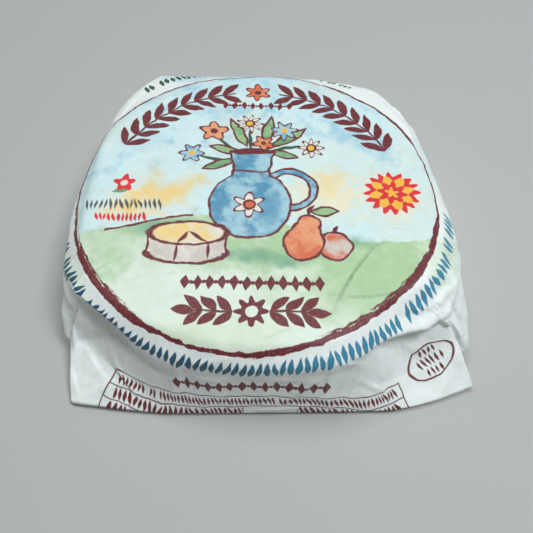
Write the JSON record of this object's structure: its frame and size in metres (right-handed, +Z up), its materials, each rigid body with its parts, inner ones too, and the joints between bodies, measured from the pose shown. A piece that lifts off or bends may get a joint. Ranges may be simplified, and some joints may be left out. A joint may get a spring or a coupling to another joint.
{
  "type": "paper-wrapped soft goat cheese",
  "caption": "Flat round soft cheese wrapped in a sheet of printed paper, folded under with an ear at each corner.",
  "frame": {"origin": "middle of the flat underside, on the surface that the cheese rests on", "axes": "+Z up through the crown, -Y towards the front fold, +X to the right as seen from the front"},
  "size_m": [0.1253, 0.1265, 0.028],
  "materials": {
    "paper": "white food paper with a soft sheen, printed in watercolour blue, green and yellow with maroon lines"
  },
  "bodies": {
    "root": {"wrapped_cheese": "paper"}
  },
  "joints": []
}
